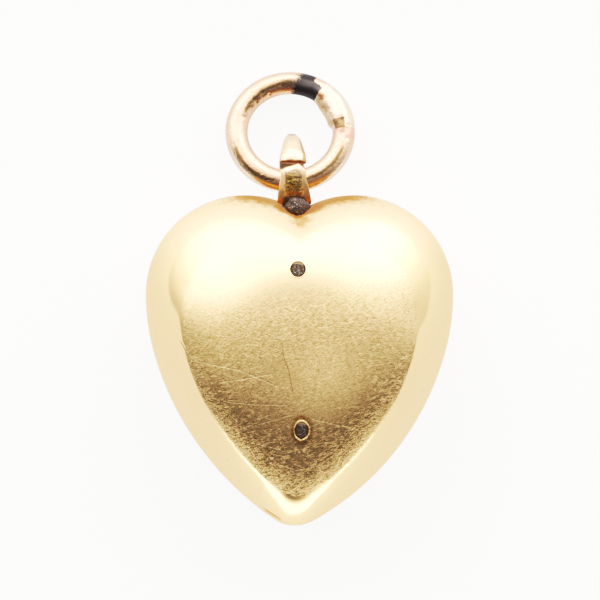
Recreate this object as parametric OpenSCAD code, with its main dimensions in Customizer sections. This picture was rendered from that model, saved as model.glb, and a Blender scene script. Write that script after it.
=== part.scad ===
// Hollow puffed heart pendant with a soldered bail and a round jump ring, lying on its domed face.
// Everything is in millimetres. +Y runs from the tip to the ring, +Z is up, the floor is at Z = 0.

/* [Heart outline] */
// Width of the heart across its cheeks
heart_w = 14.0; // [12:0.1:20]
// Radius of the round lobes beside the notch
lobe_r = 4.53; // [4.3:0.01:4.7]
// Height of the lobe centres above the middle of the heart
lobe_y = 2.08; // [1.9:0.01:2.3]
// Radius of the cheeks, just below the widest place
cheek_r = 9.7; // [9:0.1:10.5]
// Angle below the horizontal where the cheek passes into the flank
cheek_a = 14.5; // [12:0.5:17]
// Radius of the long flanks that run down to the tip
flank_r = 13.1; // [12.6:0.1:14]
// Radius of the blunt tip
tip_r = 1.75; // [1.2:0.05:2]
// Sideways lean of the tip
tip_lean = -0.23; // [-0.5:0.01:0.5]
// Radius that eases the notch between the lobes
notch_r = 0.3; // [0.15:0.05:0.6]

/* [Heart body] */
// Height of the upright land along the soldered seam
seam_land = 0.24; // [0.1:0.02:0.5]
// Height of the broad dome on each face
dome_h = 1.4; // [1:0.05:2]
// Height of the puffed shoulder under each dome
puff_h = 1.98; // [1.4:0.02:2.4]
// Sharpness of the shoulder: higher is squarer
shoulder = 5; // [3:0.5:7]
// Thickness of the metal
wall = 0.32; // [0.25:0.01:0.5]
// Height of the oval that the faces become near the middle, above and below it
oval_y = [6.3, 7.8]; // [5.5:0.1:8.5]
// How far in from the rim the notch and the tip have faded into that oval
oval_fade = 0.5; // [0.45:0.05:0.9]

/* [Vents] */
// Radius of the vent near the notch
top_vent_r = 0.37; // [0.2:0.01:0.6]
// Radius of the vent near the tip
low_vent_r = 0.39; // [0.2:0.01:0.6]
// Place of the top and the low vent, from the middle of the face, 0, to its rim, 1
vent_k = [0.476, 0.554]; // [0.3:0.002:0.7]
// Sideways place of the top and the low vent
vent_x = [-0.07, 0.12]; // [-0.4:0.01:0.4]
// Width of the raised burr round the low vent
burr_w = 0.09; // [0.05:0.01:0.15]
// Height of that burr above the face
burr_h = 0.06; // [0.02:0.01:0.12]

/* [Bail] */
// Outer radius of the bail loop
bail_r = 1.7; // [1.5:0.05:2.2]
// Thickness of the bail strip
bail_t = 0.45; // [0.3:0.05:0.5]
// Width of the strip at its foot, its waist, its shoulder and its crown
bail_w = [1.8, 1.17, 0.94, 0.36]; // [0.3:0.01:2]
// Sideways place of the bail in the notch
bail_x = -0.32; // [-0.5:0.01:0.5]
// Height of the bail's centre above the middle of the heart
bail_y = 7.74; // [7.6:0.02:7.9]
// Width of the open joint in the strip
bail_slit = 0.14; // [0.08:0.02:0.3]
// Place of the open joint, up from the bail's nearest point
bail_slit_a = 11; // [0:1:30]
// Turn of the bail about the heart's long axis
bail_yaw = 1.5; // [-6:0.5:6]
// Radius of the solder under the bail
solder_r = 0.62; // [0.5:0.01:0.7]
// Sideways place of that solder
solder_x = -0.1; // [-0.3:0.01:0.3]

/* [Jump ring] */
// Radius of the ring to the middle of its wire
ring_r = 2.45; // [2.3:0.05:2.9]
// Radius of the ring's wire
wire_r = 0.515; // [0.4:0.005:0.55]
// Sideways place of the ring in the bail
ring_x = -0.43; // [-0.6:0.01:0.6]
// Gap between the wire and the bail that it lies in
ring_play = 0.06; // [0.04:0.01:0.1]
// Direction in which the wire leans inside the bail
seat_a = 225; // [210:1:240]
// Radius of the solder repair round the ring's wire
mend_r = 0.555; // [0.52:0.005:0.6]
// Angles where the repair starts and ends
mend_a = [6, 57]; // [0:1:90]

/* [Pose] */
// Tilt of the resting heart, tip up and bail down
pitch = 4.5; // [3.5:0.1:5.5]

/* [Hidden] */
$fn = 96;
gold = [0.85, 0.68, 0.36];
rose_gold = [0.86, 0.64, 0.5];

// Points on each arc of half the outline: notch, lobe, cheek, flank and tip
arc_steps = [2, 14, 3, 8, 4];
// Rings of points from the rim of a face to its middle, and how they crowd towards the rim
face_rings = 12;
crowding = 1.4;
// The tip leans most at its point, and only in the rings of the face outside this one
lean_power = 4;
lean_from = 0.88;
bore_depth = 3;
// Rises of the bail's widths as shares of its radius: foot, waist from and to, shoulder and crown
bail_rise = [-1, -0.35, 0.4, 0.7, 1];

function dir(a) = [cos(a), sin(a)];
function arc(c, r, from, to, steps) = [for (i = [0 : steps - 1]) c + r * dir(from + (to - from) * i / steps)];
function smooth(t) = let(u = min(max(t, 0), 1)) u * u * (3 - 2 * u);

// Centres of the five tangent arcs, from the notch round the right side to the tip
lobe_c = [heart_w / 2 - lobe_r, lobe_y];
notch_c = [0, lobe_c.y + sqrt((lobe_r + notch_r) ^ 2 - lobe_c.x ^ 2)];
cheek_c = lobe_c + (lobe_r - cheek_r) * dir(0);
flank_c = cheek_c + (cheek_r - flank_r) * dir(-cheek_a);
tip_c = [0, flank_c.y - sqrt((flank_r - tip_r) ^ 2 - flank_c.x ^ 2)];
notch_a = atan2(lobe_c.y - notch_c.y, lobe_c.x);
flank_a = atan2(tip_c.y - flank_c.y, -flank_c.x);
tip_y = tip_c.y - tip_r;

half_outline = [
    each arc(notch_c, notch_r, -90, notch_a, arc_steps[0]),
    each arc(lobe_c, lobe_r, notch_a + 180, 0, arc_steps[1]),
    each arc(cheek_c, cheek_r, 0, -cheek_a, arc_steps[2]),
    each arc(flank_c, flank_r, -cheek_a, flank_a, arc_steps[3]),
    each arc(tip_c, tip_r, flank_a, -90, arc_steps[4]),
    [0, tip_y]
];
half_n = len(half_outline);

// The whole outline, clockwise from the notch
outline = [
    each half_outline,
    for (i = [half_n - 2 : -1 : 1]) [-half_outline[i].x, half_outline[i].y]
];

// A face is a nest of outlines: k is 1 at the rim and 0 at the middle of the face
function oval_radius(u) = 1 / norm([2 * u.x / heart_w, u.y / oval_y[u.y > 0 ? 0 : 1]]);
function nested(p, k) = let(
    u = p / norm(p),
    fade = smooth((1 - k) / oval_fade)
) k * (norm(p) + (oval_radius(u) - norm(p)) * fade) * u;
function leaned(q, k) = let(
    lean = q.y < 0 ? (q.y / tip_y) ^ lean_power : 0
) [q.x + tip_lean * lean * smooth((k - lean_from) / (1 - lean_from)), q.y];
function face_height(k) = seam_land / 2 + dome_h * (1 - k ^ 2) + puff_h * (1 - k ^ shoulder);
function ring_k(j) = 1 - (j / face_rings) ^ crowding;

// Thickness comes off the inside in both directions
half_t = face_height(0);
inner = [1 - 2 * wall / heart_w, 1 - wall / half_t];

function face_ring(k, side, grow) = [
    for (p = outline) let(q = leaned(nested(p, k), k) * grow[0]) [q.x, q.y, side * face_height(k) * grow[1]]
];
function shell_rings(grow) = [
    for (j = [face_rings - 1 : -1 : 0]) face_ring(ring_k(j), -1, grow),
    for (j = [0 : face_rings - 1]) face_ring(ring_k(j), 1, grow)
];

// The heart's lowest point once it is pitched gives the height at which it rests
rest_z = -min([for (r = shell_rings([1, 1])) for (p = r) p.z * cos(pitch) - p.y * sin(pitch)]);

// The ring's wire lies low in the bail, and its far side rests on the floor
bail_hole_r = bail_r - bail_t;
bail_c = [bail_y * cos(pitch), rest_z - bail_y * sin(pitch)];
wire_near = bail_c + (bail_hole_r - wire_r - ring_play) * dir(seat_a);
ring_tilt = asin((wire_near.y - wire_r) / (2 * ring_r));
ring_c = wire_near + ring_r * dir(-ring_tilt);

// The origin is under the middle of the whole pendant
far_y = ring_c[0] + ring_r * cos(ring_tilt) + wire_r;
near_y = min([for (r = shell_rings([1, 1])) for (p = r) p.y * cos(pitch) + p.z * sin(pitch)]);
shift_y = -(far_y + near_y) / 2;

// Closed skin over a stack of rings, with one point closing each end
module skin(rings, low, high) {
    n = len(rings[0]);
    m = len(rings);
    polyhedron(
        points = [for (r = rings) each r, low, high],
        faces = [
            for (j = [0 : m - 2]) for (i = [0 : n - 1])
                let(i2 = (i + 1) % n) [j * n + i, j * n + i2, (j + 1) * n + i2, (j + 1) * n + i],
            for (i = [0 : n - 1]) [(i + 1) % n, i, n * m],
            for (i = [0 : n - 1]) [(m - 1) * n + i, (m - 1) * n + (i + 1) % n, n * m + 1]
        ]
    );
}

module shell_form(grow) {
    peak = half_t * grow[1];
    skin(shell_rings(grow), [0, 0, -peak], [0, 0, peak]);
}

// Place on the upper face, k of the way from its middle to the notch (way 1) or the tip (way -1)
module on_face(k, way, x) {
    rim = half_outline[way > 0 ? 0 : half_n - 1];
    step = 0.02;
    here = nested(rim, k);
    slope = atan((face_height(k) - face_height(k + step)) / (norm(nested(rim, k + step)) - norm(here)));
    translate([x, here.y, face_height(k)]) rotate([-way * slope, 0, 0]) children();
}

module vent_bore(r) {
    translate([0, 0, -bore_depth / 2]) cylinder(r = r, h = bore_depth);
}

module burr() {
    rotate_extrude() translate([low_vent_r, -wall / 2]) square([burr_w, wall / 2 + burr_h]);
}

module shell() {
    difference() {
        shell_form([1, 1]);
        shell_form(inner);
        on_face(vent_k[0], 1, vent_x[0]) vent_bore(top_vent_r);
        on_face(vent_k[1], -1, vent_x[1]) vent_bore(low_vent_r);
    }
    on_face(vent_k[1], -1, vent_x[1]) burr();
}

// Front outline of the bail strip: wide at the foot, narrow at the crown
module bail_outline() {
    width = [bail_w[0], bail_w[1], bail_w[1], bail_w[2], bail_w[3]];
    last = len(width) - 1;
    polygon([
        for (i = [0 : last]) [width[i] / 2, bail_rise[i] * bail_r],
        for (i = [last : -1 : 0]) [-width[i] / 2, bail_rise[i] * bail_r]
    ]);
}

module bail() {
    slit_turn = bail_slit / bail_r * 180 / PI;
    translate([bail_x, bail_y, 0]) rotate([0, bail_yaw, 0]) intersection() {
        rotate([0, 90, 0]) rotate([0, 0, 180 - bail_slit_a + slit_turn / 2])
            rotate_extrude(angle = 360 - slit_turn)
                translate([bail_hole_r, -bail_w[0] / 2]) square([bail_t, bail_w[0]]);
        linear_extrude(height = 3 * bail_r, center = true) bail_outline();
    }
}

module bail_solder() {
    translate([solder_x, bail_y - bail_r, 0]) sphere(r = solder_r);
}

module heart() {
    color(gold) translate([0, shift_y, rest_z]) rotate([-pitch, 0, 0]) {
        shell();
        bail();
        bail_solder();
    }
}

module jump_ring() {
    color(rose_gold) translate([ring_x, ring_c[0] + shift_y, ring_c[1]]) rotate([-ring_tilt, 0, 0]) {
        rotate_extrude() translate([ring_r, 0]) circle(r = wire_r);
        rotate([0, 0, mend_a[0]]) rotate_extrude(angle = mend_a[1] - mend_a[0])
            translate([ring_r, 0]) circle(r = mend_r);
    }
}

heart();
jump_ring();
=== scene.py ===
import math

import bmesh
import bpy
import numpy as np
from bpy.props import FloatProperty, FloatVectorProperty, PointerProperty
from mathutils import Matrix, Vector, noise


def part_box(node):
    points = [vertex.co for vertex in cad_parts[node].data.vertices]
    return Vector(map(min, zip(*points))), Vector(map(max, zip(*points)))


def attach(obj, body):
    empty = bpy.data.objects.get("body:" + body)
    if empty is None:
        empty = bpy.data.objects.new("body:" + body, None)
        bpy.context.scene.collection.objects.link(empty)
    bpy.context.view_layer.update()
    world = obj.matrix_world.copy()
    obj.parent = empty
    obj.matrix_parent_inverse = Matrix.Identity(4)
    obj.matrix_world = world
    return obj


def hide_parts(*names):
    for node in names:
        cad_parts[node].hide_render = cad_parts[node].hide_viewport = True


# A hollow puffed heart pendant with its bail and jump ring, lying on its domed face.
# Sizes are in metres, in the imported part's frame: +Y runs from the heart's tip to the ring, +Z is up.

bl_info = {
    "name": "Puffed Heart Pendant",
    "version": (1, 0, 0),
    "blender": (4, 5, 0),
    "location": "View3D > Sidebar > Pendant",
    "description": "Builds a hollow puffed gold heart with its bail and jump ring",
    "category": "Object",
}

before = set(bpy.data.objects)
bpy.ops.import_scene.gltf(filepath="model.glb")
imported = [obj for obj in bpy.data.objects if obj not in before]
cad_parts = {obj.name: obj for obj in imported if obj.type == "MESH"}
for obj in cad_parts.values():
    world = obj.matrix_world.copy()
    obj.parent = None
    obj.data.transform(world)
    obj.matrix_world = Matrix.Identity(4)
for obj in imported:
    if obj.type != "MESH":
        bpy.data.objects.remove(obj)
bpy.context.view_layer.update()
HEART_LOW, HEART_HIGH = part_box("heart")
RING_LOW, RING_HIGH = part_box("jump_ring")

MM = 0.001
TAU = 2 * math.pi


# Settings

def length(name, description, default):
    """A size that the sidebar shows in the scene's units."""
    return FloatProperty(name=name, description=description, default=default, unit="LENGTH", precision=6)


def turn(name, description, degrees):
    """An angle, given here in degrees and kept in radians."""
    return FloatProperty(name=name, description=description, default=math.radians(degrees), unit="ROTATION")


def share(name, description, default):
    """A plain number from 0 to 1."""
    return FloatProperty(name=name, description=description, default=default, min=0, max=1)


def colour(name, description, default):
    """A linear colour."""
    return FloatVectorProperty(
        name=name, description=description, default=default, subtype="COLOR", min=0, max=1
    )


class PendantHeartSettings(bpy.types.PropertyGroup):
    """Sizes of the heart's outline, faces, vents and pose."""

    width: length("Width", "Width across the cheeks", HEART_HIGH.x - HEART_LOW.x)
    lobe_radius: length("Lobe radius", "Radius of the round lobes beside the notch", 4.53 * MM)
    lobe_height: length("Lobe height", "Height of the lobe centres above the middle", 2.08 * MM)
    cheek_radius: length("Cheek radius", "Radius just below the widest place", 9.7 * MM)
    cheek_angle: turn("Cheek angle", "Where the cheek passes into the flank", 14.5)
    flank_radius: length("Flank radius", "Radius of the long flanks", 13.1 * MM)
    tip_radius: length("Tip radius", "Radius of the blunt tip", 1.75 * MM)
    tip_lean: length("Tip lean", "Sideways lean of the tip", -0.23 * MM)
    notch_radius: length("Notch radius", "Radius that eases the notch", 0.3 * MM)
    crease: length("Crease", "Width to which solder has filled the crease below the notch", 0.40 * MM)
    seam_land: length("Seam land", "Height of the upright land along the seam", 0.24 * MM)
    dome_height: length("Dome height", "Height of the broad dome on each face", 1.4 * MM)
    puff_height: length("Puff height", "Height of the puffed shoulder", 1.98 * MM)
    shoulder: FloatProperty(name="Shoulder", description="Sharpness of the shoulder", default=5)
    crest: length("Crest", "How far the edge between face and flank stands proud", 0.13 * MM)
    wall: length("Wall", "Thickness of the sheet", 0.32 * MM)
    oval_top: length("Oval top", "Height of the inner oval above the middle", 6.3 * MM)
    oval_tip: length("Oval tip", "Height of the inner oval below the middle", 7.8 * MM)
    oval_fade: share("Oval fade", "How far in the notch and the tip have faded", 0.5)
    pitch: turn("Pitch", "Tilt of the resting heart, tip up", 4.5)
    ripple: length("Ripple", "Height of the slow waves that handling leaves in the sheet", 0.006 * MM)


class PendantBailSettings(bpy.types.PropertyGroup):
    """Sizes of the bail strip and of the solder under it."""

    radius: length("Radius", "Outer radius of the loop", 1.7 * MM)
    thickness: length("Thickness", "Thickness of the strip", 0.45 * MM)
    foot: length("Foot", "Width of the strip at the heart", 1.56 * MM)
    waist: length("Waist", "Width of the strip at its middle", 1.16 * MM)
    shoulder: length("Shoulder", "Width of the strip where it starts to round off", 0.94 * MM)
    crown: length("Crown", "Width of the strip at the far end", 0.62 * MM)
    aside: length("Sideways place", "Place of the bail across the notch", -0.32 * MM)
    centre: length("Centre", "Height of the loop's centre above the middle of the heart", 7.74 * MM)
    slit: length("Slit", "Width of the open joint", 0.035 * MM)
    slit_angle: turn("Slit angle", "Place of the open joint", 8.5)
    yaw: turn("Yaw", "Turn of the loop about the heart's long axis", 1.5)


class PendantRingSettings(bpy.types.PropertyGroup):
    """Sizes of the jump ring."""

    radius: length("Radius", "Radius to the middle of the wire", 2.45 * MM)
    wire: length("Wire", "Radius of the wire", 0.515 * MM)
    mend: length("Mend", "Radius of the wire at the solder repair", 0.545 * MM)


class PendantFinishSettings(bpy.types.PropertyGroup):
    """Colours of the metals and of what has settled on them."""

    yellow_gold: colour("Yellow gold", "Polished yellow gold", (0.87, 0.63, 0.385))
    bail_gold: colour("Bail gold", "The redder gold of the bail", (0.735, 0.535, 0.38))
    rose_gold: colour("Rose gold", "The wire of the jump ring", (0.68, 0.465, 0.34))
    pale_solder: colour("Pale solder", "Solder of the ring's repair", (0.78, 0.61, 0.47))
    tarnish: colour("Tarnish", "Brown film round the notch and the lobes' tops", (0.43, 0.205, 0.055))
    fire_scale: colour("Fire scale", "Black oxide that heat leaves", (0.035, 0.027, 0.030))
    residue: colour("Residue", "Grey dirt that has set in the vents", (0.085, 0.070, 0.060))


class PendantStageSettings(bpy.types.PropertyGroup):
    """Floor, light and camera."""

    floor_size: length("Floor size", "Side of the floor", 0.9)
    floor_colour: colour("Floor colour", "Pale paper", (0.15, 0.15, 0.15))
    camera_height: length("Camera height", "Height of the camera above the floor", 0.9)
    frame_pixels: FloatProperty(name="Frame", description="Side of the photograph in pixels", default=600)
    pixels_per_mm: FloatProperty(name="Pixels per mm", description="Scale of the photograph", default=21.93)
    middle_x: FloatProperty(name="Middle X", description="Pixel column of the heart's middle", default=299.5)
    middle_y: FloatProperty(name="Middle Y", description="Pixel row of the heart's middle", default=340)


# Forms

def smooth(t):
    """Eases from 0 to 1."""
    t = np.clip(t, 0, 1)
    return t * t * (3 - 2 * t)


def ramp(value, start, full):
    """Eases from 0 at one value to 1 at another."""
    return smooth((value - start) / (full - start))


def within(value, rise, fall):
    """Eases in from the first value to the second, and out from the third to the fourth."""
    return ramp(value, *rise) * ramp(value, fall[1], fall[0])


def bump_at(distance, width):
    """A round bump: 1 at no distance, nearly gone at twice the width."""
    return np.exp(-(distance / width) ** 2)


def heading(angle):
    """The unit vector at an angle."""
    return np.array([math.cos(angle), math.sin(angle)])


def arc(centre, radius, start, end, count=120):
    """Points along an arc, without its last one."""
    a = np.linspace(start, end, count, endpoint=False)
    return centre + radius * np.column_stack((np.cos(a), np.sin(a)))


def circle(count):
    """Angles all round, and the points of a circle there."""
    a = np.arange(count) * TAU / count
    return a, np.column_stack((np.cos(a), np.sin(a), np.zeros(count)))


def pitched(points, angle):
    """Points turned about the X axis."""
    c, s = math.cos(angle), math.sin(angle)
    return np.asarray(points) @ np.array([[1, 0, 0], [0, c, -s], [0, s, c]])


def waves(points, size, seed):
    """Smooth noise from -1 to 1 at each point, with waves of about that size."""
    shift = Vector((17.3, 5.9, 11.1)) * seed
    return np.array([noise.noise(Vector(p) / size + shift) for p in np.asarray(points)])


class Surface:
    """Points and faces of a mesh while it is being put together."""

    def __init__(self):
        self.points = np.zeros((0, 3))
        self.faces = []

    def add(self, points):
        """Adds points and returns their numbers."""
        first = len(self.points)
        self.points = np.vstack((self.points, points))
        return np.arange(first, len(self.points))

    def patch(self, points, faces):
        """Adds points with the faces between them, and returns the first point's number."""
        first = self.add(points)[0]
        self.faces += [[i + first for i in face] for face in faces]
        return first

    def band(self, near, far):
        """Faces between two closed loops of as many points."""
        near_next, far_next = np.roll(near, -1), np.roll(far, -1)
        self.faces += np.column_stack((near, near_next, far_next, far)).tolist()

    def tube(self, loops):
        """Faces along a row of loops of as many points."""
        for near, far in zip(loops, loops[1:]):
            self.band(near, far)

    def cap(self, loop, middle):
        """Closes a loop with a fan round a new point."""
        centre = self.add([middle])[0]
        self.faces += [[a, b, centre] for a, b in zip(loop, np.roll(loop, -1))]

    def bearings(self, loop, centre):
        """Directions of a loop's points from a centre, counted on past a full turn."""
        away = self.points[loop][:, :2] - centre
        return np.unwrap(np.arctan2(away[:, 1], away[:, 0]))

    def onwards(self, loop, centre):
        """A loop in the order of its bearings from a centre, and those bearings."""
        way = self.bearings(loop, centre)
        if way[-1] < way[0]:
            loop = loop[::-1]
            way = self.bearings(loop, centre)
        return loop, way

    def stitch(self, outer, inner, centre):
        """Faces between two loops round one centre that differ in their number of points."""
        outer, outer_way = self.onwards(outer, centre)
        inner, inner_way = self.onwards(inner, centre)
        offset = np.abs((inner_way - outer_way[0] + math.pi) % TAU - math.pi)
        inner = np.roll(inner, -int(np.argmin(offset)))
        inner_way = self.bearings(inner, centre)
        inner_way += TAU * round((outer_way[0] - inner_way[0]) / TAU)
        outer_way = np.append(outer_way, outer_way[0] + TAU)
        inner_way = np.append(inner_way, inner_way[0] + TAU)
        outer, inner = np.append(outer, outer[0]), np.append(inner, inner[0])
        i = j = 0
        while i < len(outer) - 1 or j < len(inner) - 1:
            outer_left, inner_left = i < len(outer) - 1, j < len(inner) - 1
            if not inner_left or (outer_left and outer_way[i + 1] <= inner_way[j + 1]):
                self.faces.append([outer[i], outer[i + 1], inner[j]])
                i += 1
            else:
                self.faces.append([outer[i], inner[j + 1], inner[j]])
                j += 1

    def cut(self, centre, radius, first_face=0):
        """Takes out the faces near a centre, seen from above, and returns the loop round the gap."""
        near = np.hypot(*(self.points[:, :2] - centre).T) < radius
        kept, taken = self.faces[:first_face], []
        for face in self.faces[first_face:]:
            (taken if near[face].any() else kept).append(face)
        self.faces = kept
        sides = {}
        for face in taken:
            for a, b in zip(face, face[1:] + face[:1]):
                sides[a, b] = True
        after = {a: b for a, b in sides if (b, a) not in sides}
        loop = [next(iter(after))]
        while after[loop[-1]] != loop[0]:
            loop.append(after[loop[-1]])
        return np.array(loop)

    def build(self, name, material, masks=None):
        """Makes the object, with its faces turned outwards, smooth shading and a mask for each effect."""
        mesh = bpy.data.meshes.new(name)
        mesh.from_pydata(self.points.tolist(), [], [[int(i) for i in face] for face in self.faces])
        work = bmesh.new()
        work.from_mesh(mesh)
        bmesh.ops.recalc_face_normals(work, faces=work.faces)
        work.to_mesh(mesh)
        work.free()
        for key, values in (masks or {}).items():
            mask = mesh.attributes.new(key, "FLOAT", "POINT")
            mask.data.foreach_set("value", np.clip(values, 0, 1).astype(np.float32))
        mesh.shade_smooth()
        mesh.materials.append(material)
        piece = bpy.data.objects.new(name, mesh)
        bpy.context.scene.collection.objects.link(piece)
        return piece


def disc_grid(rings):
    """A square grid wrapped to a disc: each point's turn and ring, from 0 to 1, and the grid's faces."""
    side = np.arange(-rings, rings + 1)
    u, v = (a.ravel() for a in np.meshgrid(side, side, indexing="ij"))
    wide = np.abs(u) >= np.abs(v)
    long, short = np.where(wide, u, v), np.where(wide, v, u)
    slant = math.pi / 4 * short / np.where(long == 0, 1, long)
    angle = np.where(wide, slant, math.pi / 2 - slant) + np.where(long < 0, math.pi, 0)
    n = 2 * rings + 1
    i, j = (a.ravel() for a in np.meshgrid(np.arange(n - 1), np.arange(n - 1), indexing="ij"))
    corner = i * n + j
    faces = np.column_stack((corner, corner + n, corner + n + 1, corner + 1)).tolist()
    return (angle / TAU) % 1, np.abs(long) / rings, faces


def spare_reflections(*pieces):
    """Keeps pieces out of mirror reflections, where glare washes them out in the photograph."""
    for piece in pieces:
        piece.visible_glossy = False


class HeartForm:
    """The heart's outline and faces in its own frame: the seam at Z = 0, the face's middle on the Z axis."""

    def __init__(self, size):
        self.size = size
        self.outline = self.trace()
        x, y = self.outline.T
        self.bearing = np.unwrap(np.arctan2(x, y))
        self.rim = np.hypot(x, y)
        steps = np.hypot(*np.diff(self.outline, axis=0).T)
        self.turn = np.append(0, np.cumsum(steps)) / steps.sum()
        self.spread = self.even_rings()
        self.middle_y, self.rest_z = self.rest()

    def trace(self):
        """Points of the whole outline, clockwise from the notch, from five tangent arcs a side."""
        s = self.size
        lobe = np.array([s.width / 2 - s.lobe_radius, s.lobe_height])
        notch = np.array([0, lobe[1] + math.sqrt((s.lobe_radius + s.notch_radius) ** 2 - lobe[0] ** 2)])
        cheek = lobe + (s.lobe_radius - s.cheek_radius) * heading(0)
        flank = cheek + (s.cheek_radius - s.flank_radius) * heading(-s.cheek_angle)
        tip = np.array([0, flank[1] - math.sqrt((s.flank_radius - s.tip_radius) ** 2 - flank[0] ** 2)])
        notch_end = math.atan2(lobe[1] - notch[1], lobe[0])
        flank_end = math.atan2(tip[1] - flank[1], -flank[0])
        self.notch_y = notch[1] - s.notch_radius
        self.tip_y = tip[1] - s.tip_radius
        right = np.vstack((
            arc(notch, s.notch_radius, -math.pi / 2, notch_end),
            arc(lobe, s.lobe_radius, notch_end + math.pi, 0),
            arc(cheek, s.cheek_radius, 0, -s.cheek_angle),
            arc(flank, s.flank_radius, -s.cheek_angle, flank_end),
            arc(tip, s.tip_radius, flank_end, -math.pi / 2),
            [[0, self.tip_y]],
        ))
        return np.vstack((right, right[-2::-1] * (-1, 1)))

    def reach(self, bearing, k):
        """Distance from the middle to the nested outline k: 1 is the rim, 0 the middle of the face."""
        s = self.size
        rim = np.interp(bearing % TAU, self.bearing, self.rim)
        across, along = np.sin(bearing), np.cos(bearing)
        oval = 1 / np.hypot(2 * across / s.width, along / np.where(along > 0, s.oval_top, s.oval_tip))
        return k * (rim + (oval - rim) * smooth((1 - k) / s.oval_fade))

    def height(self, k):
        """Height of the face above the seam."""
        s = self.size
        return s.seam_land / 2 + s.dome_height * (1 - k ** 2) + s.puff_height * (1 - k ** s.shoulder)

    def ridge(self, x, y, k):
        """Height of the edge that runs along the shoulder, further out towards the tip."""
        towards_tip = -y / np.maximum(np.hypot(x, y), 1e-9)
        gap = self.past_ridge(x, y, k)
        fade = ramp(k, 1, 0.9) * ramp(towards_tip, *CREST_ENDS[::-1])
        starts = smooth((CREST_TOP - LEFT_RISE * x - y) / CREST_START)
        return self.size.crest * np.exp(-np.hypot(gap, CREST_ROUND) / CREST_WIDTH) * fade * starts

    def past_ridge(self, x, y, k):
        """How far outside the shoulder's edge a place lies, as a difference of nested outlines."""
        towards_tip = np.clip(-y / np.maximum(np.hypot(x, y), 1e-9), 0, 1)
        return k - CREST_LEVEL - CREST_RISE * towards_tip ** 5

    def level(self, x, y):
        """The nested outline that runs through a place on the face."""
        bearing, away = np.arctan2(x, y), np.hypot(x, y)
        low, high = np.zeros_like(away), np.full_like(away, 1.1)
        for _ in range(30):
            middle = (low + high) / 2
            inside = self.reach(bearing, middle) < away
            low, high = np.where(inside, middle, low), np.where(inside, high, middle)
        return (low + high) / 2

    def even_rings(self):
        """The table that spaces rings evenly along the face's slope."""
        k = np.linspace(0, 1, 400)
        run = np.hypot(np.diff(k) * self.size.width / 2, np.diff(self.height(k)))
        return np.append(0, np.cumsum(run)) / run.sum(), k

    def relief(self, x, y, side):
        """Slow waves and small dents in a face."""
        s = self.size
        points = np.column_stack((x, y, np.full_like(x, side * s.width)))
        relief = s.ripple * waves(points, 2.4 * MM, 1) + 0.15 * s.ripple * waves(points, 1.0 * MM, 2)
        for dent_side, dent_x, dent_y, radius, depth in HEART_DENTS:
            if dent_side == side:
                relief -= depth * bump_at(np.hypot(x - dent_x, y - dent_y), radius)
        return relief

    def face_point(self, x, y, side):
        """Points on a face over places in the seam's plane. Solder has filled the crease below the notch."""
        filled = self.size.crease * bump_at(np.hypot(x, y - self.notch_y), 2 * self.size.crease)
        k = np.minimum(self.level(np.hypot(x, filled), y), 1)
        z = self.height(k) + self.ridge(x, y, k) + self.relief(x, y, side) * (1 - k ** 6)
        return np.column_stack((x, y, side * z))

    def face(self, side, rings, grow=None):
        """Points of a whole face, the faces between them, and the loop round its rim."""
        s = self.size
        turn_share, ring, faces = disc_grid(rings)
        k = np.interp(ring, *self.spread)
        bearing = np.interp(turn_share, self.turn, self.bearing)
        away = self.reach(bearing, k)
        x, y = away * np.sin(bearing), away * np.cos(bearing)
        if grow is None:
            points = self.face_point(x, y, side)
            points[:, 0] += s.tip_lean * np.clip(y / self.tip_y, 0, 1) ** 5
        else:
            points = np.column_stack((x, y, side * self.height(k))) * (grow[0], grow[0], grow[1])
        edge = np.flatnonzero(ring > 1 - 0.5 / rings)
        return points, faces, edge[np.argsort(turn_share[edge])]

    def rest(self):
        """Y and Z of the heart's middle once it lies pitched on the floor, its tip where the solid's is."""
        s = self.size
        y, z = self.tip_y, s.seam_land / 2
        middle_y = HEART_LOW.y - (y * math.cos(s.pitch) - z * math.sin(s.pitch))
        k = np.linspace(0, 1, 2000)
        lowest = -self.reach(0, k) * math.sin(s.pitch) - self.height(k) * math.cos(s.pitch)
        return middle_y, -lowest.min()

    def place(self, points):
        """Lays points of the heart's own frame down in the part's frame."""
        return pitched(points, self.size.pitch) + (0, self.middle_y, self.rest_z)


# Nested outline of the shoulder's edge at the cheeks, how much further out it is at the tip, how round it
# is, and how far its slopes reach to both sides
CREST_LEVEL = 0.77
CREST_RISE = 0.095
CREST_ROUND = 0.012
CREST_WIDTH = 0.07
# The edge melts away towards the tip: cosine of the bearing from the tip's where that starts and ends
CREST_ENDS = (0.96, 1.0)
# Height above the middle where the edge begins, over how much height it rises, and how much higher that is
# for every millimetre to the left
CREST_TOP = 1.9 * MM
CREST_START = 2.0 * MM
LEFT_RISE = 0.12

# Where the wear of the face ends at that edge: share of it left there, and the width over which it ends
FIELD_EDGE = (0.45, 0.04)

# Small dents in the heart: face (1 is the back, which is up), X, Y, radius and depth
HEART_DENTS = (
    (1, -6.2 * MM, -0.2 * MM, 0.30 * MM, 0.010 * MM),
    (1, 5.5 * MM, -3.0 * MM, 0.35 * MM, 0.010 * MM),
    (1, -2.9 * MM, 1.7 * MM, 0.25 * MM, 0.004 * MM),
    (1, 3.4 * MM, -0.9 * MM, 0.50 * MM, 0.006 * MM),
    (-1, 1.6 * MM, 0.9 * MM, 0.60 * MM, 0.014 * MM),
    (-1, -2.2 * MM, -2.6 * MM, 0.45 * MM, 0.010 * MM),
)


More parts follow.
